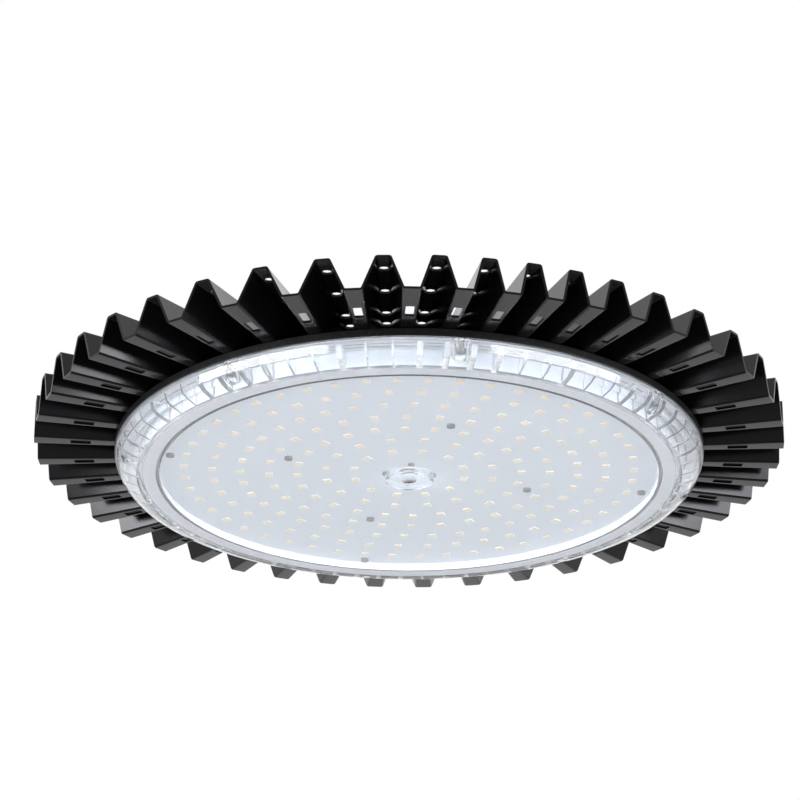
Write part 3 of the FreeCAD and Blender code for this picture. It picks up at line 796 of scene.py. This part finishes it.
# the gasket gets painted shade on its outer edge
silicone = softSilicone("siliconeSeal", (0.85, 0.87, 0.90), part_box("lens_gasket")[1].x / mm)
dress(boardMask(), "led_board")
dress(screwMetal, "lens_screws")
dress(platedSteel("dullScrew", (0.17, 0.17, 0.19), 0.45), "board_screws", "centre_screws")
dress(blackScrew, "crown_screws", "housing_screws")
dress(housingPaint, "driver_housing")
dress(silicone, "lens_gasket", "housing_gasket", "gland_seal")
dress(mouldedPlastic("padGrey", (0.62, 0.64, 0.66), 0.7), "thermal_pad")
dress(nylon, "gland_body", "gland_nut", "breather_valve")
dress(zinc, "eye_washer", "eye_bolt", "eye_nut")
dress(mouldedPlastic("boardGreen", (0.02, 0.16, 0.06), 0.35), "driver_board")
dress(mouldedPlastic("windingAmber", (0.55, 0.30, 0.05), 0.35), "driver_transformer")
dress(mouldedPlastic("chokeDark", (0.05, 0.05, 0.055), 0.5), "driver_choke")
dress(mouldedPlastic("capacitorSleeve", (0.03, 0.04, 0.08), 0.3), "driver_capacitors")
dress(mouldedPlastic("terminalGrey", (0.30, 0.31, 0.32), 0.5), "input_terminal", "output_terminal")
dress(mouldedPlastic("leadRed", (0.45, 0.03, 0.02), 0.4), "output_leads")
dress(mouldedPlastic("spacerNylon", (0.65, 0.64, 0.60), 0.5), "driver_pillars")
print("finishes set")


# floor, light and camera

room = {
    "floorZ": -0.9, "floorRadius": 1.6, "floorTone": 0.86, "fade": (0.35, 0.95), "floorGlow": 0.15,
    "skyLevel": 0.75, "lampSize": (1.6, 0.4),
    "lamps": {"leftLamp": ((-1.34, -0.94, -0.2), 62.0), "rightLamp": ((1.34, -0.94, -0.2), 54.0)},
}
view = {"place": (0.0, -1.3967, -0.5865), "aim": (0.0028, 0.0, 0.0465), "lens": 133.51,
        "shift": (-0.01837, -0.00116), "sensor": 36.0}


def makeFloor():
    # pale and lit near the object, plain white where it fades out
    radius, tone, glow = room["floorRadius"], room["floorTone"], room["floorGlow"]
    floor = primitive("circle", "paleFloor", vertices=96, radius=radius, fill_type="NGON",
                      location=(0, 0, room["floorZ"]))
    finish = Finish("paleFloor")
    fade = finish.radius().smooth(radius * room["fade"][0], radius * room["fade"][1])
    share = finish.shown() * (glow + fade * (1 - glow))
    lit = finish.node("ShaderNodeBsdfDiffuse", inputs={0: rgb(tone, tone, tone)})
    white = finish.node("ShaderNodeEmission", inputs={0: rgb(1, 1, 1), 1: 1.0})
    mixed = finish.node("ShaderNodeMixShader", inputs={0: share, 1: lit, 2: white})
    floor.data.materials.append(finish.done(mixed))


def makeWorld():
    scene.world = bpy.data.worlds.new("paleStudio")
    sky = Graph(scene.world, "ShaderNodeOutputWorld")
    strength = sky.shown() * (1 - room["skyLevel"]) + room["skyLevel"]
    sky.done(sky.node("ShaderNodeBackground", inputs={"Color": rgb(1, 1, 1), "Strength": strength}))


def makeLamp(name, place, power):
    data = bpy.data.lights.new(name, "AREA")
    data.shape = "RECTANGLE"
    data.size, data.size_y = room["lampSize"]  # seen in reflections only
    data.energy = power
    lamp = bpy.data.objects.new(name, data)
    lamp.location = place
    lamp.rotation_euler = (-Vector(place)).to_track_quat("-Z", "Y").to_euler()
    lamp.visible_diffuse = False
    lamp.visible_transmission = False
    scene.collection.objects.link(lamp)


def makeCamera():
    data = bpy.data.cameras.new("camera")
    data.lens = view["lens"]
    data.sensor_width = view["sensor"]
    data.shift_x, data.shift_y = view["shift"]
    camera = bpy.data.objects.new("camera", data)
    camera.location = view["place"]
    aim = Vector(view["aim"]) - Vector(view["place"])
    camera.rotation_euler = aim.to_track_quat("-Z", "Y").to_euler()
    scene.collection.objects.link(camera)
    scene.camera = camera


makeFloor()
makeWorld()
for lampName, (lampPlace, lampPower) in room["lamps"].items():
    makeLamp(lampName, lampPlace, lampPower)
makeCamera()
scene.view_settings.view_transform = "Standard"
print("stage set")
